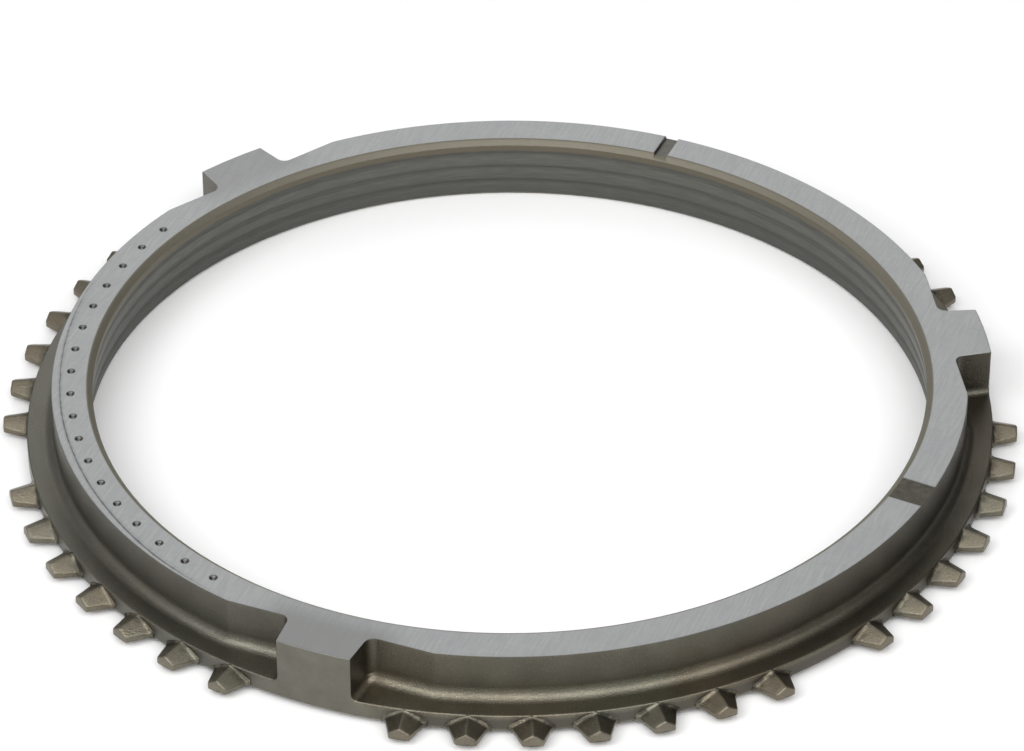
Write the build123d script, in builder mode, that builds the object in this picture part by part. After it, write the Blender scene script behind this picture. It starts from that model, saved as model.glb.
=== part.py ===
from build123d import *
import os
from math import hypot, radians, tan

os.makedirs("parts", exist_ok=True)

# Synchronizer ring of a heavy gearbox, in millimetres.
# The ring lies on the plane z = 0 with its axis on Z, and one lug points along +X.

# Ring body and its cone
ring_height = 13.0
throat_radius = 73.9
throat_chamfer = 0.95
cone_half_angle = 7.0
mouth_chamfer = 0.6
face_width = 6.35

# Oil grooves turned in the cone, counted down from the throat
groove_count = 3
groove_pitch = 3.35
groove_inset = 1.95
groove_width = 1.5
groove_depth = 0.24

# Foot below the toothed flange
foot_wall = 4.1
foot_height = 1.3
foot_edge_chamfer = 0.4

# Toothed flange
flange_thickness = 3.0
flange_reach = 4.8

# Sloping shoulder between the flange and the upright wall, with its two hollow corners eased
shoulder_width = 1.9
shoulder_rise = 1.8
shoulder_top_ease = 0.5
shoulder_foot_ease = 0.5

# Driving lugs and the flats beside them
lug_count = 3
lug_width = 13.3
lug_side_draft = 4.2
lug_root_round = 1.7
lug_foot_round = 1.2
flat_depth = 2.2

# Clutch teeth, on equal pitches with gaps at each lug and halfway between lugs
tooth_pitches = 51
tooth_length = 4.4
tooth_root_width = 6.7
tooth_tip_width = 3.55
tooth_roof_angle = 31.0
tooth_ridge_sink = 0.15
tooth_ridge_fall = 0.55
tooth_root_round = 0.8
tooth_inset = 0.2

# Marks cut into the ground face
notch_angle = 60.0
notch_width = 2.45
notch_depth = 0.5
pad_angle = 324.6
pad_width = 5.95
pad_depth = 0.18

# Radii and heights that follow from the sizes above
cone_slope = tan(radians(cone_half_angle))
throat_height = ring_height - throat_chamfer
face_inner_radius = throat_radius + throat_chamfer
face_outer_radius = face_inner_radius + face_width
mouth_radius = throat_radius + (throat_height - mouth_chamfer) * cone_slope
foot_radius = mouth_radius + mouth_chamfer + foot_wall
rim_radius = face_outer_radius + flange_reach
ledge_height = foot_height + flange_thickness
shoulder_height = ledge_height + shoulder_rise
flat_distance = face_outer_radius - flat_depth
lug_step = 360 / lug_count
lug_side_slope = tan(radians(lug_side_draft))
lug_half_at_flat = lug_width / 2 + (rim_radius - flat_distance) * lug_side_slope
lug_flare_end = lug_half_at_flat + lug_root_round * tan(radians(90 - lug_side_draft) / 2)
tooth_step = 360 / tooth_pitches
tooth_roof_slope = tan(radians(tooth_roof_angle))
bore_core_radius = throat_radius / 2

# Working sizes: how far the blank runs past the rim, and how close two points count as one
stock_radius = rim_radius + lug_root_round
seam = 0.01
across_face = (Align.MIN, Align.CENTER, Align.CENTER)


def plan_radius(point):
    """Distance of a point from the ring's axis."""
    return hypot(point.X, point.Y)


def outer_section(wall, inner, outer, low, high):
    """Section from inner to outer, with its upright wall, the shoulder below it, and the ledge."""
    shoulder_end = wall + shoulder_width
    with BuildSketch(Plane.XZ) as section:
        with BuildLine():
            Polyline(
                (inner, low),
                (outer, low),
                (outer, ledge_height),
                (shoulder_end, ledge_height),
                (wall, shoulder_height),
                (wall, high),
                (inner, high),
                close=True,
            )
        make_face()
        top = section.vertices().filter_by(lambda v: abs(v.Y - shoulder_height) < seam)
        chamfer(top, shoulder_top_ease)
        foot = section.vertices().filter_by(lambda v: abs(v.X - shoulder_end) < seam)
        chamfer(foot, shoulder_foot_ease)
    return section.sketch


def lug_outline():
    """Plan of one lug on +X: drafted sides that flare into the flat and run past the rim."""
    inner = flat_distance - lug_root_round
    with BuildSketch() as lug:
        with BuildLine():
            flare = JernArc((flat_distance, lug_flare_end), (0, -1), lug_root_round, 90 - lug_side_draft)
            side = Line(flare @ 1, flare @ 1 + (flare % 1) * (stock_radius - flat_distance))
            Line(side @ 1, (side @ 1).X * Vector(1, 0))
            Polyline(flare @ 0, (inner, lug_flare_end), (inner, 0))
            mirror(about=Plane.XZ)
        make_face()
    return lug.sketch


def lug_feet():
    """Hollow rounds between the ledge and both sides of one lug on +X, carried along the sides."""
    side = Plane(
        origin=(flat_distance, lug_half_at_flat, ledge_height),
        x_dir=(lug_side_slope, 1, 0),
        z_dir=(1, -lug_side_slope, 0),
    )
    with BuildPart() as feet:
        with BuildSketch(side):
            Rectangle(2 * lug_foot_round, 2 * lug_foot_round)
            with Locations((lug_foot_round, lug_foot_round)):
                Circle(lug_foot_round, mode=Mode.SUBTRACT)
        extrude(amount=stock_radius - flat_distance)
        mirror(about=Plane.XZ)
    return feet.part


def clutch_tooth():
    """One tooth on +X: a tapering plan with round roots, under a roof that falls to the tip."""
    tip = rim_radius + tooth_length
    taper = (tooth_root_width - tooth_tip_width) / 2 / tooth_length
    inset = rim_radius - tooth_inset
    half_inset = tooth_root_width / 2 + taper * tooth_inset
    half_tip = tooth_tip_width / 2
    reach = tooth_root_width / 2 + tooth_root_round
    ridge_tip = ledge_height - tooth_ridge_sink - tooth_ridge_fall
    ridge_inset = ridge_tip + tooth_ridge_fall * (tooth_length + tooth_inset) / tooth_length
    ridge = Vector(tip, 0, ridge_tip) - Vector(inset, 0, ridge_inset)
    across = Plane(origin=(inset, 0, ridge_inset), x_dir=(0, 1, 0), z_dir=ridge)
    with BuildPart() as tooth:
        with BuildSketch(Plane.XY.offset(foot_height)) as plan:
            with BuildLine():
                Polyline((inset, -reach), (tip, -reach), (tip, reach), (inset, reach), close=True)
            make_face()
            Circle(rim_radius, mode=Mode.INTERSECT)
            with BuildLine():
                Polyline((inset, -half_inset), (tip, -half_tip), (tip, half_tip), (inset, half_inset), close=True)
            make_face()
            corners = plan.vertices().filter_by(lambda v: abs(plan_radius(v) - rim_radius) < seam)
            fillet(corners.sort_by(lambda v: abs(v.Y))[:2], tooth_root_round)
        extrude(amount=ridge_inset - foot_height)
        with BuildSketch(across):
            drop = 2 * reach * tooth_roof_slope * ridge.X / ridge.length
            with BuildLine():
                Polyline((-2 * reach, -drop), (2 * reach, -drop), (0, 0), close=True)
            make_face()
        extrude(amount=2 * tooth_length, both=True, mode=Mode.INTERSECT)
    return tooth.part


def tooth_angles():
    """Angles of the teeth: every pitch but the two at each lug and the one halfway between lugs."""
    angles = []
    for index in range(tooth_pitches):
        angle = (index + 0.5) * tooth_step
        from_lug = abs((angle + lug_step / 2) % lug_step - lug_step / 2)
        from_middle = lug_step / 2 - from_lug
        if from_lug > tooth_step and from_middle > tooth_step / 2:
            angles.append(angle)
    return angles


with BuildPart() as flat_body:
    # All that stays when one flat is milled: the outer section moved inwards and carried straight across
    with BuildSketch(Plane.XZ):
        add(outer_section(flat_distance, -2 * rim_radius, 2 * rim_radius, -ring_height, 2 * ring_height))
    extrude(amount=2 * rim_radius, both=True)

lug_plan = lug_outline()
foot_rounds = lug_feet()
tooth_solid = clutch_tooth()

with BuildPart() as ring:
    # Turned blank: foot, flange, shoulder and upright wall
    with BuildSketch(Plane.XZ):
        add(outer_section(face_outer_radius, bore_core_radius, stock_radius, foot_height, ring_height))
        with BuildLine():
            Polyline(
                (bore_core_radius, 0),
                (foot_radius - foot_edge_chamfer, 0),
                (foot_radius, foot_edge_chamfer),
                (foot_radius, foot_height),
                (bore_core_radius, foot_height),
                close=True,
            )
        make_face()
    revolve(axis=Axis.Z)

    # Flats, with the shoulder and its eased corners stepping inwards with the wall
    for index in range(lug_count):
        with Locations(Location((0, 0, 0), (0, 0, index * lug_step))):
            add(flat_body.part, mode=Mode.INTERSECT)

    # Lugs, turned to one radius with the flange
    with BuildSketch(Plane.XY.offset(ledge_height)):
        with PolarLocations(0, lug_count):
            add(lug_plan)
    extrude(amount=ring_height - ledge_height)
    with PolarLocations(0, lug_count):
        add(foot_rounds)
    Cylinder(rim_radius, 4 * ring_height, mode=Mode.INTERSECT)

    # Teeth
    with Locations(*[Location((0, 0, 0), (0, 0, angle)) for angle in tooth_angles()]):
        add(tooth_solid)

    # Bore: mouth chamfer, cone and throat chamfer
    with BuildSketch(Plane.XZ):
        with BuildLine():
            Polyline(
                (0, 0),
                (mouth_radius + mouth_chamfer, 0),
                (mouth_radius, mouth_chamfer),
                (throat_radius, throat_height),
                (face_inner_radius, ring_height),
                (0, ring_height),
                close=True,
            )
        make_face()
    revolve(axis=Axis.Z, mode=Mode.SUBTRACT)

    # Oil grooves in the cone, with two sloping sides each
    with BuildSketch(Plane.XZ):
        for index in range(groove_count):
            height = throat_height - groove_inset - index * groove_pitch
            wall = throat_radius + (throat_height - height) * cone_slope
            with BuildLine():
                Polyline(
                    (wall - groove_depth, height - groove_width),
                    (wall + groove_depth, height),
                    (wall - groove_depth, height + groove_width),
                    close=True,
                )
            make_face()
    revolve(axis=Axis.Z, mode=Mode.SUBTRACT)

    # Notch and unground pad, sunk into the face from above
    with Locations(Location((0, 0, ring_height), (0, 0, notch_angle))):
        Box(rim_radius, notch_width, 2 * notch_depth, align=across_face, mode=Mode.SUBTRACT)
    with Locations(Location((0, 0, ring_height), (0, 0, pad_angle))):
        Box(rim_radius, pad_width, 2 * pad_depth, align=across_face, mode=Mode.SUBTRACT)

ring.part.label = "ring"
export_step(ring.part, "parts/ring.step")
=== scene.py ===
# %% [markdown]
# # A synchronizer ring for a heavy gearbox
# The real object is one forged and turned piece of steel. A cone inside it brakes a gear, three lugs
# on its rim sit in the slots of a hub, and short teeth round its flange stop the shift sleeve until
# gear and shaft turn at one speed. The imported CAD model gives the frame, and every piece below is
# made in that same frame, in metres.

import bpy
import numpy as np
from mathutils import Matrix, Vector


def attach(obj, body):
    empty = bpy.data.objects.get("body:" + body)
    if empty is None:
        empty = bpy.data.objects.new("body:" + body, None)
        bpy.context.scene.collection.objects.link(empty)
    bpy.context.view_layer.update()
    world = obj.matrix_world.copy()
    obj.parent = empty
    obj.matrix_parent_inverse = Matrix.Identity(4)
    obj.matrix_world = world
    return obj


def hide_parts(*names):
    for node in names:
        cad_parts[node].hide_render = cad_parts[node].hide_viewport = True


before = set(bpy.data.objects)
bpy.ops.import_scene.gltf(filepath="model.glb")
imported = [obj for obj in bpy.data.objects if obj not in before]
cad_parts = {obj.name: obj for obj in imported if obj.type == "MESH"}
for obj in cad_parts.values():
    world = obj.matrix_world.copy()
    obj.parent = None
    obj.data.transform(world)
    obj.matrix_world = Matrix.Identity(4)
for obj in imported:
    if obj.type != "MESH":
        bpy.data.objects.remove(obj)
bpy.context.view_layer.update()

# %% [markdown]
# ## Sizes
# A drawing of the part gives a few sizes, and all else follows from them. They are kept in
# millimetres here, as on a drawing, and turned into metres only when a mesh is made.

# %% Sizes from the drawing, in millimetres
ring_height = 13.0
throat_radius, throat_chamfer, mouth_chamfer = 73.9, 0.95, 0.6
cone_slope = np.tan(np.radians(7.0))
face_width, flange_reach, flange_thickness = 6.35, 4.8, 3.0
foot_wall, foot_height, foot_chamfer = 4.1, 1.3, 0.4
groove_count, groove_inset, groove_pitch = 3, 1.95, 3.35
groove_width, groove_depth = 1.5, 0.24
lug_step, lug_half, lug_draft = 2 * np.pi / 3, 6.65, np.radians(4.2)
flat_depth = 2.2

# Sizes that follow from them
throat_height = ring_height - throat_chamfer
mouth_radius = throat_radius + (throat_height - mouth_chamfer) * cone_slope
foot_radius = mouth_radius + mouth_chamfer + foot_wall
ledge_height = foot_height + flange_thickness
face_inner = throat_radius + throat_chamfer
face_outer = face_inner + face_width
rim_radius = face_outer + flange_reach
flat_distance = face_outer - flat_depth
print("mouth, foot and rim radius:", [round(float(r), 3) for r in (mouth_radius, foot_radius, rim_radius)])

# %% [markdown]
# ## The wall seen from above
# The upright wall is a circle with a flat milled across each lug. A lug stands on the flat, its
# sides lean in by a few degrees, and each side flares into the flat with a round root. Seen from
# the axis, every direction meets this outline exactly once, so the outline can be written as a
# radius for each angle. That makes the whole ring one surface on a grid of angle and section.

# %% Angles and corners of the plan
root_round = 1.7
flat_ease, lug_ease = 0.12, 0.25


def turn_from(angles, middle):
    """Angle from middle, between minus and plus half a turn."""
    return (angles - middle + np.pi) % (2 * np.pi) - np.pi


def from_lug(angle):
    """Angle to the nearest lug's middle, without its sign."""
    return np.abs((angle + lug_step / 2) % lug_step - lug_step / 2)


def smooth_min(a, b, width):
    """The smaller of a and b, with a parabola of that width where they cross."""
    h = np.clip(0.5 + 0.5 * (b - a) / width, 0, 1)
    return b + (a - b) * h - width * h * (1 - h)


def side_line(x):
    """Half width of a lug at distance x from the axis: its half width at the rim plus the draft."""
    return lug_half + (rim_radius - x) * np.tan(lug_draft)


root_x = flat_distance + root_round
root_centre = np.array([root_x, side_line(root_x) + root_round / np.cos(lug_draft)])
root_tangent = root_centre - root_round * np.array([np.sin(lug_draft), np.cos(lug_draft)])
side_end = np.arctan2(root_tangent[1], root_tangent[0])
root_end = np.arctan2(root_centre[1], flat_distance)
print("side ends at", round(np.degrees(side_end), 2), "root ends at", round(np.degrees(root_end), 2))


# %% Plan of the wall
def body_radius(angle):
    """Circle of the face cut by the flat x = flat_distance, with the corner between them eased."""
    return smooth_min(face_outer, flat_distance / np.cos(from_lug(angle)), flat_ease)


def wall_radius(angle):
    """Out along the lug's side to the rim, along the arc of its root, and else the body's radius."""
    a = from_lug(angle)
    along = np.stack([np.cos(a), np.sin(a)], -1) @ root_centre
    inside = np.maximum(along**2 - root_centre @ root_centre + root_round**2, 0)
    root = along - np.sqrt(inside)
    reach = (lug_half + rim_radius * np.tan(lug_draft)) / (np.sin(a) + np.tan(lug_draft) * np.cos(a))
    side = smooth_min(rim_radius, reach, lug_ease)
    return np.where(a < side_end, side, np.where(a < root_end, root, body_radius(angle)))


print("wall radius at a lug, on a flat and between:", wall_radius(np.radians([1.0, 10.0, 60.0])).round(2))

# %% [markdown]
# ## The shoulder and the ledge
# Outside the wall the forging sweeps down to a flat ledge. The CAD model gives this shoulder as a
# slope with eased corners. The real one is a hollow round that leaves the wall upright and arrives
# level at the ledge, and its soft highlight tells so. A second, smaller one climbs the side of each
# lug. As all of this is seen from above without overhangs, its height is a plain function of place:
# distance from the wall gives the hollow round, and distance from the lug gives the climb.

# %% Height of shoulder and ledge
shoulder_round, climb_round = 1.95, 1.2
flat_begins = face_outer - 0.05


def hollow_round(size, d):
    """Height at distance d in a hollow quarter circle: size and upright at 0, none and level at size."""
    near = np.clip(size - d, 0, size)
    return size - np.sqrt(size**2 - near**2)


def outer_height(angle, radius):
    """Shoulder by distance from the wall, measured square to a flat on a flat, plus the round that
    climbs the lug, faded out along the arc of its root."""
    a = from_lug(angle)
    body = body_radius(angle)
    d_wall = np.maximum((radius - body) * np.where(body < flat_begins, np.cos(a), 1.0), 0)
    x, y = radius * np.cos(a), radius * np.sin(a)
    d_side = (y - side_line(x)) * np.cos(lug_draft)
    near_wall, near_side = np.maximum(root_round - d_wall, 0), np.maximum(root_round - d_side, 0)
    d_lug = np.clip(root_round - np.hypot(near_wall, near_side), 0, climb_round)
    share = np.sin(np.arctan2(near_side, near_wall + 1e-9)) ** 2
    return ledge_height + hollow_round(shoulder_round, d_wall) + hollow_round(climb_round, d_lug) * share


print("ledge at", round(float(outer_height(np.radians(60), 85.0)), 3))

# %% [markdown]
# ## Columns of the grid
# A plain stretch needs a column about every degree. Close columns go where the shape turns fast:
# along the lugs' sides, at the ends of the flats, across the notch and the unground pad, and over
# each punch mark. A plain column that would fall on a close one is dropped.

# %% Angles of the columns
notch_angle, notch_half, notch_depth = np.radians(60.0), 1.225, 0.5
pad_angle, pad_half, pad_depth = np.radians(324.6), 2.975, 0.18
dot_angles = np.radians(np.arange(137.5, 223, 5.0))
dot_radius, dot_size, dot_depth = 77.85, 0.7, 0.42
face_middle, dot_band = 78.0, 0.84
lug_corner, root_past, flat_end = 4.25, 6.5, (12.9, 14.1)
least_gap = np.radians(0.12)

along_side = np.linspace(lug_corner, np.degrees(side_end), 25)
along_root = np.linspace(np.degrees(side_end), root_past, 11)[1:]
beside_lug = np.concatenate([along_side, along_root, np.linspace(*flat_end, 7)])
lug_columns = [sign * beside_lug + middle for middle in (0, 120, 240) for sign in (-1, 1)]


def across(middle, steps):
    """Angles of straight lines across the face, steps mm to both sides of its middle line."""
    steps = np.asarray(steps)
    return middle + np.arcsin(np.concatenate([-steps[:0:-1], steps]) / face_middle)


notch_columns = across(notch_angle, [0.0, 0.5, 0.95, 1.1, 1.19, 1.26, 1.34, 1.6])
pad_columns = across(pad_angle, [0.0, 0.9, 1.9, 2.7, 2.9, 3.0, 3.1, 3.5])
dot_columns = (dot_angles[:, None] + np.linspace(-dot_band, dot_band, 13) / dot_radius).ravel()
lug_columns = np.radians(np.concatenate(lug_columns))
special = np.concatenate([lug_columns, notch_columns, pad_columns, dot_columns])
special = np.sort(special % (2 * np.pi))
plain = np.radians(np.arange(0.0, 360.0, 1.0))
gap = np.abs(turn_from(plain[:, None], special)).min(1)
columns = np.sort(np.concatenate([plain[gap > least_gap], special]))
print("columns:", len(columns))

# %% [markdown]
# ## Rows of the grid
# A section through the ring, at one angle, is a closed loop: along the ground face, over its edge,
# down the wall, over the shoulder and ledge to the rim, back under the flange to the foot, and up
# the cone with its turned grooves to the chamfer at the throat. Each sharp corner gets a few close
# rows, which make the small round that every real edge has and that catches the light.

# %% The rows that every column shares: under the flange, foot and bore
groove_heights = throat_height - groove_inset - groove_pitch * np.arange(groove_count)


def bend(a, corner, b, shares):
    """Points of the parabola that leaves a towards corner and arrives at b from it."""
    t = np.asarray(shares)[:, None]
    return (1 - t) ** 2 * np.array(a) + 2 * t * (1 - t) * np.array(corner) + t**2 * np.array(b)


def soft_corners(points, rounds, steps=3):
    """Bends of steps points in place of a polyline's inner corners, each reaching its round's size."""
    points = np.asarray(points, float)
    made = []
    for before, corner, after, size in zip(points[:-2], points[1:-1], points[2:], rounds):
        a = corner + (before - corner) * size / np.linalg.norm(before - corner)
        b = corner + (after - corner) * size / np.linalg.norm(after - corner)
        made.append(bend(a, corner, b, np.linspace(0, 1, steps)))
    return np.concatenate(made)


def cone_wall(z):
    """Radius of the cone at height z, with each groove sunk in as a smooth hollow."""
    radius = throat_radius + (throat_height - z) * cone_slope
    for middle in groove_heights:
        u = np.clip(np.abs(z - middle) / (groove_width / 2), 0, 1)
        radius = radius + groove_depth * (1 - u**2) ** 1.3
    return radius


in_groove = groove_width / 2 * np.linspace(-1, 1, 10)
grooves_upwards = [middle + in_groove for middle in groove_heights[::-1]]
lowest_rows = [mouth_chamfer + 0.15, mouth_chamfer + 0.8]
highest_rows = [throat_height - 0.85, throat_height - 0.15]
cone_heights = np.concatenate([lowest_rows, *grooves_upwards, highest_rows])
cone_rows = np.stack([cone_wall(cone_heights), cone_heights], -1)
foot_corners = [
    (rim_radius, foot_height + 1.1),
    (rim_radius, foot_height),
    (foot_radius, foot_height),
    (foot_radius, foot_chamfer),
    (foot_radius - foot_chamfer, 0),
    (mouth_radius + mouth_chamfer, 0),
    (mouth_radius, mouth_chamfer),
    (mouth_radius - 0.1, mouth_chamfer + 0.8),
]
foot_rows = soft_corners(foot_corners, (0.2, 0.25, 0.12, 0.12, 0.12, 0.1))
throat_corners = [
    (throat_radius + 0.1, throat_height - 0.8),
    (throat_radius, throat_height),
    (face_inner, ring_height),
    (face_inner + 1, ring_height),
]
throat_rows = soft_corners(throat_corners, (0.15, 0.3), 4)
shared = np.concatenate([foot_rows, cone_rows, throat_rows])
print("shared rows:", len(shared))

# %% [markdown]
# ## The face, the wall and the ledge
# These rows depend on the angle. A faint step runs along the back of the face, where a second cut
# of the grinder stopped short of the edge, and its radius wanders a little. On a lug the rows of
# the ledge have nowhere to go sideways, so they spread down the lug's outer face instead.

# %% Rows of the face, with the grinding step
edge_round, step_depth, step_side, step_rest, step_margin = 0.12, 0.05, 0.04, 0.16, 0.35


def step_radius(angle):
    """Radius of the grinding step at the back of the face, through a few measured places."""
    degrees = [130, 154, 166, 174, 191, 204, 214, 223, 235]
    radii = [80.9, 80.6, 80.0, 79.7, 79.7, 80.0, 80.5, 80.7, 80.9]
    return np.interp(np.degrees(angle) % 360, degrees, radii)


def step_drop(angle):
    """Depth of the step, full between 158 and 216 degrees and gone by 148 and 226 degrees."""
    return step_depth * np.interp(np.degrees(angle) % 360, [148, 158, 216, 226], [0, 1, 1, 0])


def between(first, last, shares):
    """For every column of the grid, the points at these shares of the way from first to last."""
    first, last = np.broadcast_arrays(first, last)
    return first[:, None] + (last - first)[:, None] * np.asarray(shares)


wall = wall_radius(columns)
stop = wall - edge_round
step = np.minimum(step_radius(columns), stop - step_margin)
dots_start, dots_end = dot_radius - dot_band, dot_radius + dot_band
before_dots = np.linspace(face_inner + 0.75, dots_start, 4)[:-1]
inner_face = np.concatenate([[face_inner + 0.36], before_dots, np.linspace(dots_start, dots_end, 15)])
face_r = np.concatenate([
    np.repeat(inner_face[None], len(columns), 0),
    between(dots_end, step - step_side - step_rest, (0.5, 1.0)),
    between(step - step_side, step + step_side, (0.0, 1.0)),
    between(step + step_rest, stop, (0.0, 0.3, 0.7, 0.94)),
], 1)
step_row = inner_face.size + 2
face_z = ring_height - step_drop(columns)[:, None] * (face_r > step[:, None])
print("rows of the face:", face_r.shape[1])

# %% Rows of the edge, the wall, the ledge and the rim
rim_round, least_ledge = 0.25, 0.03
lug_wall_foot, lug_ledge, lug_rim = 6.3, (6.2, 4.6), (4.52, 4.1)
room = rim_radius - wall
on_lug = room < least_ledge

turn = np.radians([0, 30, 60, 90])
edge_r = stop[:, None] + edge_round * np.sin(turn)
edge_z = face_z[:, -1:] - edge_round * (1 - np.cos(turn))

wall_foot = np.where(on_lug, lug_wall_foot, outer_height(columns, wall))
wall_z = between(edge_z[:, -1], wall_foot, (0.08, 0.3, 0.55, 0.8, 0.95))
wall_r = np.repeat(wall[:, None], wall_z.shape[1], 1)

scale = np.minimum(room / flange_reach, 1)[:, None]
quarter = np.radians(np.linspace(0, 90, 14))
ledge_near = wall[:, None] + shoulder_round * (1 - np.cos(quarter)) * scale
ledge_far = between(ledge_near[:, -1], rim_radius - rim_round * scale[:, 0], (0.25, 0.5, 0.75, 0.93))
ledge_r = np.concatenate([ledge_near, ledge_far], 1)
ledge_z = outer_height(columns[:, None], ledge_r)

rim_r = rim_radius - rim_round * scale * (1 - np.sin(turn))
rim_z = outer_height(columns[:, None], rim_r) - rim_round * (1 - np.cos(turn))
for radii, heights, ends in ((ledge_r, ledge_z, lug_ledge), (rim_r, rim_z, lug_rim)):
    radii[on_lug] = wall[on_lug, None]
    heights[on_lug] = np.linspace(*ends, heights.shape[1])
cylinder_z = between(rim_z[:, -1], foot_height + 0.3, (0.35, 0.7, 0.95))
cylinder_r = np.full_like(cylinder_z, rim_radius)

shared_r, shared_z = (np.repeat(shared[None, :, i], len(columns), 0) for i in range(2))
section_r = np.concatenate([face_r, edge_r, wall_r, ledge_r, rim_r, cylinder_r, shared_r], 1)
section_z = np.concatenate([face_z, edge_z, wall_z, ledge_z, rim_z, cylinder_z, shared_z], 1)
print("rows:", section_r.shape[1], "triangles:", 2 * section_r.size)

# %% [markdown]
# ## Marks in the face
# A notch and a shallow unground pad run straight across the face, and a row of small punch marks
# follows its back. Straight sides need columns that run parallel to each other, not towards the
# axis, so the columns near a mark are bent to keep their distance from its middle line. Each mark
# then only lowers the surface: the section keeps whichever is lower, itself or the mark's floor.

# %% Bend the columns and sink the marks
mark_reach, mark_fade = np.radians(4.5), np.radians(1.5)
notch_soft, pad_soft = 0.16, 0.2
side_of_face, far_off, face_skin = 0.3, 99.0, 0.06


def straighten(angles, middle, radius):
    """Near middle, the angle at which a line at constant distance from the middle line meets radius."""
    away = turn_from(angles, middle)
    straight = np.arcsin(np.clip(face_middle * np.sin(away) / radius, -1, 1))
    share = np.clip((mark_reach - np.abs(away)) / mark_fade, 0, 1)
    return angles + share * (straight - away)


def offset_from(angles, middle, radius):
    """Distance in mm from the line through the axis at angle middle, or far_off elsewhere."""
    away = turn_from(angles, middle)
    return np.where(np.abs(away) < side_of_face, np.abs(radius * np.sin(away)), far_off)


def eased(t):
    """0 up to 0, 1 from 1 on, and between them the curve 3 t^2 - 2 t^3, level at both ends."""
    t = np.clip(t, 0, 1)
    return t * t * (3 - 2 * t)


def sink(d, half, depth, soft):
    """Depth of a mark at distance d from its middle: full inside half, with eased sides."""
    return depth * eased((half + soft / 2 - d) / soft)


section_a = np.repeat(columns[:, None], section_r.shape[1], 1)
section_a = straighten(section_a, notch_angle, section_r)
section_a = straighten(section_a, pad_angle, section_r)
notch_away = offset_from(section_a, notch_angle, section_r)
pad_away = offset_from(section_a, pad_angle, section_r)
notch_floor = ring_height - sink(notch_away, notch_half, notch_depth, notch_soft)
pad_floor = ring_height - sink(pad_away, pad_half, pad_depth, pad_soft)
section_z = np.minimum(section_z, np.minimum(notch_floor, pad_floor))

from_dot = np.full(section_r.shape, far_off)
for angle in dot_angles:
    along = turn_from(section_a, angle) * dot_radius
    from_dot = np.minimum(from_dot, np.hypot(along, section_r - dot_radius))
on_face = section_z > ring_height - face_skin
section_z = section_z - dot_depth * np.clip(1 - (from_dot / dot_size) ** 2, 0, 1) * on_face
print("deepest point of the face:", round(float((ring_height - section_z[:, :face_r.shape[1]]).max()), 3))

# %% [markdown]
# ## From grid to mesh
# The grid closes on itself both ways, round the ring and round the section, so its faces are simply
# each point joined with the next row and the next column. The zones of the finish, such as the
# ground face or the cone, are stored with the points as numbers from 0 to 1, or up to 1.6 where a
# zone counts for more. The materials read them from there.


# %% Make a closed mesh from a grid
def grid_faces(columns_count, rows_count):
    """Four-sided faces between neighbours, wrapping round in both directions."""
    c, r = np.meshgrid(np.arange(columns_count), np.arange(rows_count), indexing="ij")
    c2, r2 = (c + 1) % columns_count, (r + 1) % rows_count
    corners = [c * rows_count + r, c * rows_count + r2, c2 * rows_count + r2, c2 * rows_count + r]
    return np.stack(corners, -1).reshape(-1, 4)


def enclosed(points, faces):
    """Volume inside the faces, positive when they point outwards: the sum of their pyramids."""
    a, b, c, d = (points[faces[:, i]] for i in range(4))
    two = np.einsum("ij,ij->i", a, np.cross(b, c)) + np.einsum("ij,ij->i", a, np.cross(c, d))
    return two.sum() / 6


def make_piece(name, points_mm, faces, zones):
    """A smooth-shaded mesh at the origin, its faces turned outwards, with a number per point for each
    zone. A face that names a corner twice is a triangle."""
    volume = enclosed(points_mm, faces)
    if volume < 0:
        faces = faces[:, ::-1]
    corners = [list(dict.fromkeys(face)) for face in faces.tolist()]
    mesh = bpy.data.meshes.new(name)
    mesh.from_pydata((points_mm * 0.001).tolist(), [], corners)
    mesh.update(calc_edges=True)
    mesh.polygons.foreach_set("use_smooth", np.ones(len(mesh.polygons), bool))
    for zone, values in zones.items():
        layer = mesh.attributes.new(zone, "FLOAT", "POINT")
        layer.data.foreach_set("value", np.asarray(values, np.float32).ravel())
    piece = bpy.data.objects.new(name, mesh)
    bpy.context.scene.collection.objects.link(piece)
    triangles = sum(len(polygon.vertices) - 2 for polygon in mesh.polygons)
    print(f"{name}: {len(mesh.vertices)} points, {triangles} triangles, {abs(volume) / 1000:.2f} cm3")
    return piece


ring_points = np.stack([section_r * np.cos(section_a), section_r * np.sin(section_a), section_z], -1)
ring_points = ring_points.reshape(-1, 3)
ring_faces = grid_faces(*section_r.shape)
print("faces of the ring:", len(ring_faces))

# %% Zones of the finish: where each group of rows starts
outside_counts = [part.shape[1] for part in (face_r, edge_r, wall_z, ledge_r, rim_r, cylinder_z)]
face_end, wall_start, ledge_start, rim_start, cylinder_start, shared_start = np.cumsum(outside_counts)
cone_start = shared_start + len(foot_rows)
throat_start = cone_start + len(cone_rows)
rows = throat_start + len(throat_rows)
lug_half_angle, lug_blend_end, lug_blend = np.radians([4.44, 9.0, 4.0])
lug_dark_amounts = {120: 0.6, 240: 1.0}
lug_dark_radius, lug_dark_reach, lug_dark_fade = 80.0, 16.0, 9.0
lug_dark_bore, lug_dark_rise, lug_dark_least = 74.0, 5.0, 0.35


def rows_between(first, end):
    """1 on rows from first up to end and 0 elsewhere, for every column."""
    row = np.arange(rows)
    return np.repeat(((row >= first) & (row < end)).astype(float)[None], len(columns), 0)


def lug_darkening(angles, radii):
    """How much darker the face is made near two of the lugs: full on the lug, less towards the bore,
    and gone at the set reach, in mm, beside the lug's middle."""
    outer_share = np.clip((radii - lug_dark_bore) / lug_dark_rise, lug_dark_least, 1)
    lug_dark = 0.0
    for degrees, amount in lug_dark_amounts.items():
        beside = np.abs(turn_from(angles, np.radians(degrees))) * lug_dark_radius
        lug_dark = lug_dark + amount * eased((lug_dark_reach - beside) / lug_dark_fade) * outer_share
    return lug_dark


print("rows of the wall and ledge:", wall_start, "to", rim_start)

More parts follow.
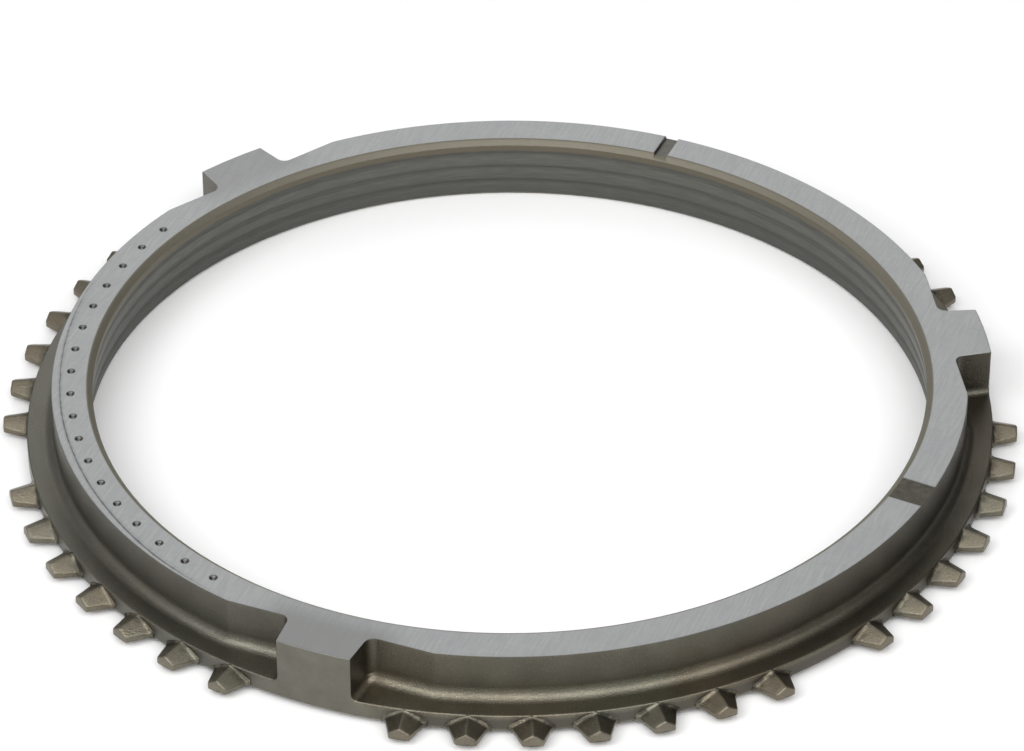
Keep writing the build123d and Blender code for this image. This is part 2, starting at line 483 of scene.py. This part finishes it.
# %% Zones of the finish, and the ring body
floor_depth, notch_share, rim_shade_share = 0.1, 0.85, 1.6
collar_height, collar_blend = 10.5, 0.4
face_zone = rows_between(0, face_end + 2)
face_zone[:, -1] = 1
sunk_notch = np.clip((ring_height - notch_floor) / floor_depth, 0, 1)
sunk_pad = np.clip((ring_height - pad_floor) / floor_depth, 0, 1)
sunk = np.maximum(notch_share * sunk_notch, sunk_pad)

lug_outside = (from_lug(columns) < lug_half_angle)[:, None] * rows_between(face_end + 1, cylinder_start)
near_lug = np.clip((lug_blend_end - from_lug(columns)) / lug_blend, 0, 1)
cylinder = rows_between(cylinder_start, shared_start)
lug_outside = lug_outside + near_lug[:, None] * cylinder

cone_zone = rows_between(cone_start - 2, throat_start + 1)
grooved = (section_r - throat_radius - (throat_height - section_z) * cone_slope) / groove_depth
step_rows = rows_between(step_row, step_row + 2) + rows_between(step_row - 1, step_row + 3)

# Painted shade in each punch mark: darkest round its rim, lighter at its middle, and fading just outside
# it
dot_share = from_dot / dot_size
painted_pit_shade = np.clip((dot_share - 0.1) / 0.5, 0.35, 1) * np.clip((1.2 - dot_share) / 0.3, 0, 1)
zones = {
    "ground": face_zone * (1 - sunk),
    "sunken": face_zone * sunk,
    "cone": cone_zone,
    "collar": cone_zone * np.clip((section_z - collar_height) / collar_blend, 0, 1),
    "step": step_rows * (step_drop(columns) / (2 * step_depth))[:, None],
    # painted shade on the upright wall, and stronger on the rim of the flange
    "wall": (rows_between(face_end + 2, ledge_start) + rim_shade_share * cylinder) * (1 - lug_outside),
    "groove": rows_between(cone_start, throat_start) * np.clip(grooved, 0, 1),
    "throat": rows_between(throat_start + 2, rows - 1),
    "turned": lug_outside,
    # painted shade of the punch marks
    "punch": face_zone * painted_pit_shade,
    "lug_dark": face_zone * lug_darkening(section_a, section_r),
}
ring = make_piece("ring_body", ring_points, ring_faces, zones)
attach(ring, "root")
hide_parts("ring")

# %% [markdown]
# ## The clutch teeth
# A tooth tapers to its tip, and its upper side is a roof of two slopes, so that the sleeve's own
# pointed teeth slide past. The ridge starts just under the ledge and falls a little towards the tip.
# The forging leaves soft edges: a wide round along each eave, a small one on the ridge, and hollow
# ones where the tooth grows out of the rim. One tooth is a closed section carried outwards, and the
# last few sections shrink to make the soft edge round the tip. The tooth is then turned to each of
# its places on 51 pitches, with gaps at the lugs and halfway between them.

# %% Section of a tooth
tooth_pitches, tooth_length = 51, 4.4
half_root, half_tip, roof_angle = 3.35, 1.775, np.radians(31.0)
ridge_sink, ridge_fall, ridge_half = 0.15, 0.55, 0.34
flare, hollow, eave_round, bottom_round = 0.8, 0.5, 0.5, 0.12
inside_extra, inside_lift, side_least = 0.55, 0.03, 0.3
crest_lift, crest_half, climb_fade, core_height = 0.23, 0.4, 0.5, 0.8
roof_slope = np.tan(roof_angle)


def tooth_right(out):
    """Right half of the section at distance out from the rim, from the middle of its bottom up to its
    ridge: flat bottom, upright side, eave round, slope and ridge. Half width = straight taper +
    circular flare."""
    half = half_root + (half_tip - half_root) * out / tooth_length
    wide = half + hollow_round(flare, out) if out > 0 else half + inside_extra
    ridge = ledge_height - ridge_sink - ridge_fall * out / tooth_length
    bottom = foot_height + inside_lift * (out < 0)
    eave = max(ridge - wide * roof_slope, bottom + side_least)
    size = min(eave_round, 0.9 * (eave - bottom))
    reach = size * np.tan((np.pi / 2 - roof_angle) / 2)
    on_roof = (wide - reach * np.cos(roof_angle), eave + reach * np.sin(roof_angle))
    beside_ridge = (ridge_half, ridge - ridge_half * roof_slope)
    right = np.concatenate([
        [(0.0, bottom), (wide - bottom_round, bottom), (wide, bottom + bottom_round)],
        bend((wide, eave - reach), (wide, eave), on_roof, (0, 0.25, 0.5, 0.75, 1)),
        [(0.5 * (on_roof[0] + ridge_half), 0.5 * (on_roof[1] + beside_ridge[1]))],
        bend(beside_ridge, (0, ridge), (-ridge_half, beside_ridge[1]), (0, 0.25, 0.5)),
    ])
    return right, bottom


def tooth_section(out, inset):
    """Closed section at distance out from the rim. Near the rim its slopes climb a hollow round, up to
    the rim's own edge and a little higher at the ridge. Then all of it shrinks by inset towards its
    core."""
    right, bottom = tooth_right(out)
    rise = hollow_round(hollow, max(out, 0))
    most = ledge_height - rim_round + crest_lift * np.exp(-((right[:, 0] / crest_half) ** 2))
    climb = rise * np.clip((right[:, 1] - bottom) / climb_fade, 0, 1)
    right[:, 1] = np.maximum(right[:, 1], np.minimum(right[:, 1] + climb, most))
    whole = np.concatenate([right, right[-2:0:-1] * [-1, 1]])
    core = np.array([0.0, bottom + core_height])
    return core + (whole - core) * (1 - inset / np.linalg.norm(whole - core, axis=1, keepdims=True))


print("points round one tooth:", len(tooth_section(0, 0)))

# %% One tooth as a section carried outwards, with its ends closed
# Distances outwards from the rim, or back from the tip, with an inset where the section shrinks
inner_end = [(-1.1, 0.7), (-0.5, 0.1)]
plain_out = [-0.2, -0.03, 0.02, 0.07, 0.14, 0.24, 0.38, 0.58, 0.8, 1.6, 2.8, 3.8]
before_tip = [(0.28, 0.02), (0.12, 0.08), (0.03, 0.17), (0.0, 0.28)]
places = inner_end + [(out, 0) for out in plain_out]
places += [(tooth_length - back, inset) for back, inset in before_tip]
sections = [np.insert(tooth_section(out, inset), 0, rim_radius + out, axis=1) for out, inset in places]
one_tooth = np.concatenate(sections)
n_x, n_s = len(sections), len(sections[0])

c, r = np.meshgrid(np.arange(n_x - 1), np.arange(n_s), indexing="ij")
r2 = (r + 1) % n_s
quads = np.stack([c * n_s + r, (c + 1) * n_s + r, (c + 1) * n_s + r2, c * n_s + r2], -1).reshape(-1, 4)
up_right = np.arange(1, n_s // 2)
up_left = n_s - up_right
strip = np.stack([up_right[:-1], up_right[1:], up_left[1:], up_left[:-1]], -1)
point_ends = [[0, 1, n_s - 1, 0], [up_right[-1], n_s // 2, up_left[-1], up_right[-1]]]
cap = np.concatenate([strip, point_ends])
tooth_faces = np.concatenate([quads, cap, (cap + (n_x - 1) * n_s)[:, ::-1]])
print("sections of one tooth:", n_x, "faces:", len(tooth_faces))

# %% Turn it to its places on the ring
pitch = 2 * np.pi / tooth_pitches
middle_angle = (np.arange(tooth_pitches) + 0.5) * pitch
lug_away = from_lug(middle_angle)
kept = middle_angle[(lug_away > pitch) & (lug_step / 2 - lug_away > pitch / 2)]
root_part, most_shorter = rim_radius + 0.2, 0.05
shorter = np.random.default_rng(7).uniform(0, most_shorter, len(kept))[:, None]
outer_part = np.clip((one_tooth[:, 0] - root_part) / (one_tooth[-1, 0] - root_part), 0, 1)
x = one_tooth[:, 0] - shorter * outer_part
cosine, sine = np.cos(kept)[:, None], np.sin(kept)[:, None]
y, z = one_tooth[:, 1], np.broadcast_to(one_tooth[:, 2], x.shape)
teeth_points = np.stack([x * cosine - y * sine, x * sine + y * cosine, z], -1).reshape(-1, 3)
teeth_faces = np.concatenate([tooth_faces + i * len(one_tooth) for i in range(len(kept))])
outward = np.clip((np.hypot(teeth_points[:, 0], teeth_points[:, 1]) - rim_radius) / tooth_length, 0, 1)
teeth = make_piece("clutch_teeth", teeth_points, teeth_faces, {"outward": outward})
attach(teeth, "root")
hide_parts("ring")
print("teeth:", len(kept))

# %% [markdown]
# ## The steel
# All of the ring is one steel, but each zone was finished in its own way. The face is ground in long
# crossing strokes, and a thin dark line runs along the step of its second cut. The cone is turned and
# dark, with a browner collar above the first groove and painted shade in its grooves and towards its
# bottom, and the outer faces of the lugs are turned too. All else is forged and blasted, greyer
# towards -X, with painted shade on the upright wall, more on the rim of the flange, and towards +X.
# The punch marks get painted shade round their rims. One material, with a colour and a roughness
# that change from zone to zone, keeps the borders exact. The teeth are forged as well, with painted
# shade in patches in the corners at their roots.


# %% Node helpers
def new_material(name):
    """A node material, with its tree and its shader, ready for wiring."""
    material = bpy.data.materials.new(name)
    material.use_nodes = True
    return material, material.node_tree, material.node_tree.nodes["Principled BSDF"]


def add_node(tree, kind, inputs=None, **settings):
    """A node of this kind, with its plain settings and the values of its inputs."""
    node = tree.nodes.new(kind)
    for key, value in settings.items():
        setattr(node, key, value)
    for key, value in (inputs or {}).items():
        node.inputs[key].default_value = value
    return node


def feed(tree, socket, value):
    """Links the socket to another one, or sets it to a plain number or colour."""
    if isinstance(value, bpy.types.NodeSocket):
        tree.links.new(value, socket)
    else:
        socket.default_value = (*value, 1) if isinstance(value, tuple) else value


def maths(tree, operation, first, second):
    """One arithmetic step on two numbers or sockets."""
    node = add_node(tree, "ShaderNodeMath", operation=operation)
    feed(tree, node.inputs[0], first)
    feed(tree, node.inputs[1], second)
    return node.outputs[0]


def zone_value(tree, zone, amount=None):
    """The number stored with the mesh under this name, times amount."""
    value = add_node(tree, "ShaderNodeAttribute", attribute_name=zone).outputs["Fac"]
    return value if amount is None else maths(tree, "MULTIPLY", value, amount)


def mix(tree, share, first, second, kind="RGBA"):
    """first where share is 0 and second where it is 1, for colours or, with kind FLOAT, numbers. The
    node has its own two inputs and output for each kind, and they are told apart by their place."""
    node = add_node(tree, "ShaderNodeMix", data_type=kind)
    sockets = (6, 7, 2) if kind == "RGBA" else (2, 3, 0)
    feed(tree, node.inputs["Factor"], share)
    feed(tree, node.inputs[sockets[0]], first)
    feed(tree, node.inputs[sockets[1]], second)
    return node.outputs[sockets[2]]


def noise(tree, where, scale, detail=3.0, roughness=0.55):
    """Cloudy variation from 0 to 1, scale in lumps per metre."""
    values = {"Scale": scale, "Detail": detail, "Roughness": roughness}
    node = add_node(tree, "ShaderNodeTexNoise", values)
    tree.links.new(where, node.inputs["Vector"])
    return node.outputs["Fac"]


def stretched(tree, where, turn_degrees, lengths):
    """Coordinates turned about Z and then divided by three lengths, so a noise is drawn out by them."""
    values = {"Rotation": (0, 0, np.radians(turn_degrees)), "Scale": lengths}
    node = add_node(tree, "ShaderNodeMapping", values, vector_type="TEXTURE")
    tree.links.new(where, node.inputs["Vector"])
    return node.outputs["Vector"]


def spread(tree, value, low, high, to_low=0.0, to_high=1.0):
    """Stretches low..high of a value to to_low..to_high, and clamps it."""
    values = {"From Min": low, "From Max": high, "To Min": to_low, "To Max": to_high}
    node = add_node(tree, "ShaderNodeMapRange", values)
    tree.links.new(value, node.inputs["Value"])
    return node.outputs["Result"]


def bumped(tree, shader, height, distance):
    """Roughens the shader's surface by a height from 0 to 1, times distance in metres."""
    bump = add_node(tree, "ShaderNodeBump", {"Strength": 1.0, "Distance": distance})
    tree.links.new(height, bump.inputs["Height"])
    tree.links.new(bump.outputs["Normal"], shader.inputs["Normal"])


def forged_skin(tree, place):
    """Blasted forging: patches of brown and of olive grey, each clouded, with a fine bright grain."""
    cloud = spread(tree, noise(tree, place, 160, 4.0), 0.3, 0.7)
    brown = mix(tree, cloud, (0.128, 0.111, 0.081), (0.176, 0.154, 0.114))
    olive = mix(tree, cloud, (0.122, 0.116, 0.09), (0.166, 0.158, 0.123))
    colour = mix(tree, spread(tree, noise(tree, place, 45, 2.0), 0.42, 0.58), brown, olive)
    grain = noise(tree, place, 4200, 2.0, 0.6)
    return mix(tree, spread(tree, grain, 0.5, 0.68, 0.0, 0.5), colour, (0.29, 0.262, 0.205)), grain


print("helpers ready")

# %% Steel of the ring body: patterns and the colour of each finish
steel, tree, shader = new_material("ring_steel")
place = add_node(tree, "ShaderNodeTexCoord").outputs["Object"]
axes = add_node(tree, "ShaderNodeSeparateXYZ")
tree.links.new(place, axes.inputs[0])
forged, grain = forged_skin(tree, place)
strokes = noise(tree, stretched(tree, place, 61.6, (11, 1, 1)), 2500, 2.0, 0.6)
counter_strokes = noise(tree, stretched(tree, place, -28, (14, 1, 1)), 2100, 2.0, 0.6)
counter_strokes = maths(tree, "MULTIPLY", counter_strokes, 0.25)
cross = maths(tree, "ADD", maths(tree, "MULTIPLY", strokes, 0.75), counter_strokes)
turning = noise(tree, stretched(tree, place, 0, (1, 1, 0.07)), 230, 3.0, 0.6)

ground = mix(tree, spread(tree, cross, 0.38, 0.62), (0.284, 0.289, 0.292), (0.326, 0.331, 0.33))
patches = spread(tree, noise(tree, place, 120), 0.4, 0.6, 0.0, 0.25)
ground = mix(tree, patches, ground, (0.278, 0.283, 0.285))
# Darker on and around the lugs at 120 and 240 degrees
ground = mix(tree, zone_value(tree, "lug_dark", 0.75), ground, (0.185, 0.189, 0.182))
# A thin dark line along the step of the face, broken up by a noise
step_line_breakup = spread(tree, noise(tree, place, 700), 0.4, 0.62, 0.3, 0.9)
step_line = maths(tree, "MULTIPLY", zone_value(tree, "step"), step_line_breakup)
ground = mix(tree, step_line, ground, (0.15, 0.153, 0.15))

clouds = spread(tree, noise(tree, place, 260, 4.0), 0.35, 0.65)
turned = mix(tree, clouds, (0.132, 0.127, 0.105), (0.16, 0.154, 0.13))

cone = mix(tree, spread(tree, turning, 0.35, 0.65), (0.12, 0.121, 0.109), (0.154, 0.155, 0.14))
# Painted shade: the cone darkens towards its bottom, near the table, and in its grooves
cone = mix(tree, spread(tree, axes.outputs["Z"], 0.0, 0.008, 0.5, 0.0), cone, (0.08, 0.08, 0.073))
cone = mix(tree, zone_value(tree, "groove", 0.4), cone, (0.08, 0.08, 0.071))
cone = mix(tree, zone_value(tree, "collar"), cone, (0.15, 0.134, 0.1))

speckle = spread(tree, noise(tree, place, 700), 0.35, 0.65)
sunken = mix(tree, speckle, (0.066, 0.062, 0.05), (0.102, 0.096, 0.078))
print("ring steel so far:", len(tree.nodes), "nodes")

# %% Steel of the ring body: one colour, one roughness and one relief from all zones
# Painted shade: the forged colour is darkened on the upright wall and, more, on the rim of the flange
colour = mix(tree, zone_value(tree, "wall", 0.5), forged, (0.085, 0.08, 0.069))
# Painted shade darkens the forged colour towards +X; towards -X it turns greyer
painted_shade_right = spread(tree, axes.outputs["X"], 0.015, 0.07, 0.0, 0.55)
towards_left = spread(tree, axes.outputs["X"], -0.075, -0.03, 0.6, 0.0)
colour = mix(tree, painted_shade_right, colour, (0.05, 0.046, 0.038))
colour = mix(tree, towards_left, colour, (0.124, 0.127, 0.114))
finishes_and_shade = {
    "turned": turned,
    "cone": cone,
    "throat": (0.22, 0.205, 0.164),
    "sunken": sunken,
    "ground": ground,
    # painted shade in the punch marks
    "punch": (0.12, 0.118, 0.11),
}
for zone, zone_colour in finishes_and_shade.items():
    colour = mix(tree, zone_value(tree, zone), colour, zone_colour)
tree.links.new(colour, shader.inputs["Base Color"])

roughness = 0.36
for zone, value in {"turned": 0.4, "cone": 0.5, "throat": 0.65, "ground": 0.33}.items():
    roughness = mix(tree, zone_value(tree, zone), roughness, value, "FLOAT")
tree.links.new(roughness, shader.inputs["Roughness"])
shader.inputs["Metallic"].default_value = 1.0

smooth = maths(tree, "MAXIMUM", zone_value(tree, "turned"), zone_value(tree, "cone"))
smooth = maths(tree, "MAXIMUM", zone_value(tree, "ground"), smooth)
height = maths(tree, "MULTIPLY", grain, mix(tree, smooth, 0.55, 0.08, "FLOAT"))
for pattern, zone, least, most in ((cross, "ground", 0.0, 0.05), (turning, "cone", 0.03, 0.2)):
    share = mix(tree, zone_value(tree, zone), least, most, "FLOAT")
    height = maths(tree, "ADD", height, maths(tree, "MULTIPLY", pattern, share))
bumped(tree, shader, height, 0.00016)
ring.data.materials.append(steel)
print("ring steel:", len(tree.nodes), "nodes")

# %% Steel of the teeth
tooth_steel, tree, shader = new_material("tooth_steel")
place = add_node(tree, "ShaderNodeTexCoord").outputs["Object"]
forged, grain = forged_skin(tree, place)
colour = mix(tree, zone_value(tree, "outward", 0.35), forged, (0.2, 0.176, 0.132))
# Painted shade in the corners at the roots of the teeth, broken into patches by a noise
painted_root_shade = spread(tree, zone_value(tree, "outward"), 0.0, 0.4, 0.9, 0.0)
root_shade_patches = spread(tree, noise(tree, place, 520), 0.44, 0.58)
colour = mix(tree, maths(tree, "MULTIPLY", painted_root_shade, root_shade_patches), colour, (0.045, 0.042, 0.035))
tree.links.new(colour, shader.inputs["Base Color"])
shader.inputs["Roughness"].default_value = 0.38
shader.inputs["Metallic"].default_value = 1.0
bumped(tree, shader, grain, 0.0001)
teeth.data.materials.append(tooth_steel)
print("tooth steel:", len(tree.nodes), "nodes")

# %% [markdown]
# ## Floor, light and camera
# The ring lies on a plain white table, as in a catalogue picture. Three soft lamps stand in an arc
# on the camera's side, the left one strongest, and draw the long highlight along the shoulder. A low
# one widens that highlight. Two more stand behind the ring, where the camera sees them mirrored in
# the ground face, and weaker ones above and on the left fill the shadows. The room is dimmer, and
# more so on the right, so the slopes of the dark forging show. The camera stands far back with a
# long lens, about 36 degrees above the table.

# %% Floor and room
bpy.context.scene.view_settings.view_transform = "Standard"
far, table_white = 10.0, 0.95
floor_mesh = bpy.data.meshes.new("floor")
floor_corners = [(-far, -far, 0), (far, -far, 0), (far, far, 0), (-far, far, 0)]
floor_mesh.from_pydata(floor_corners, [], [(0, 1, 2, 3)])
floor = bpy.data.objects.new("floor", floor_mesh)
bpy.context.scene.collection.objects.link(floor)
floor_paint, tree, shader = new_material("floor_white")
shader.inputs["Base Color"].default_value = (table_white, table_white, table_white, 1)
shader.inputs["Roughness"].default_value = 0.9
floor_mesh.materials.append(floor_paint)

room_left, room_right = 0.36, 0.1
world = bpy.data.worlds.new("studio")
world.use_nodes = True
tree = world.node_tree
direction = add_node(tree, "ShaderNodeSeparateXYZ")
tree.links.new(add_node(tree, "ShaderNodeTexCoord").outputs["Generated"], direction.inputs[0])
strength = spread(tree, direction.outputs["X"], -1.0, 1.0, room_left, room_right)
tree.links.new(strength, tree.nodes["Background"].inputs["Strength"])
tree.nodes["Background"].inputs["Color"].default_value = (1, 1, 1, 1)
bpy.context.scene.world = world
print("table and room set")

# %% Lamps: name, place in metres, width and height in metres, power in watts
lamps = [
    ("front_left", (-0.734, -0.553, 0.919), (0.75, 0.75), 7.9),
    ("front", (-0.05, -0.92, 0.919), (0.75, 0.75), 6.4),
    ("low_front", (-0.17, -1.2, 0.42), (1.6, 0.55), 2.1),
    ("front_right", (0.62, -0.68, 0.919), (0.75, 0.75), 4.6),
    ("overhead", (0, -0.1, 1.3), (0.75, 0.75), 1.6),
    ("left", (-1.22, 0.17, 0.4), (0.75, 0.75), 0.9),
    ("back_left", (-0.6, 0.9, 0.6), (0.75, 0.75), 0.5),
    ("high_behind", (0.06, 0.72, 1.08), (0.75, 0.6), 1.3),
    ("behind", (0.17, 1.36, 0.72), (1.2, 0.9), 3.8),
]


def soft_lamp(name, place_m, size, power):
    """A rectangular lamp at place_m, facing the middle of the ring."""
    light = bpy.data.lights.new(name, "AREA")
    light.shape, light.energy = "RECTANGLE", power
    light.size, light.size_y = size
    lamp = bpy.data.objects.new(name, light)
    lamp.location = place_m
    lamp.rotation_euler = (-Vector(place_m)).to_track_quat("-Z", "Y").to_euler()
    bpy.context.scene.collection.objects.link(lamp)


for lamp in lamps:
    soft_lamp(*lamp)
print("lamps:", len(lamps))

# %% Camera
look, tilt, roll = np.radians([7.63, 35.773, -0.178])
eye_distance, sensor_mm, lens_mm = 0.93108, 36.0, 180.28
target = np.array([0.00254, 0.01594, 0.0])
forward = np.array([np.sin(look) * np.cos(tilt), np.cos(look) * np.cos(tilt), -np.sin(tilt)])
level = np.array([np.cos(look), -np.sin(look), 0.0])
up = np.cross(level, forward)
right = level * np.cos(roll) + up * np.sin(roll)
above = -level * np.sin(roll) + up * np.cos(roll)
eye = target - forward * eye_distance
camera_data = bpy.data.cameras.new("camera")
camera_data.sensor_width, camera_data.lens = sensor_mm, lens_mm
camera_data.clip_start, camera_data.clip_end = 0.05, 20.0
camera = bpy.data.objects.new("camera", camera_data)
placed = np.eye(4)
placed[:3] = np.stack([right, above, -forward, eye], -1)
camera.matrix_world = Matrix(placed)
bpy.context.scene.collection.objects.link(camera)
bpy.context.scene.camera = camera
print("camera at", [round(float(v), 4) for v in eye])
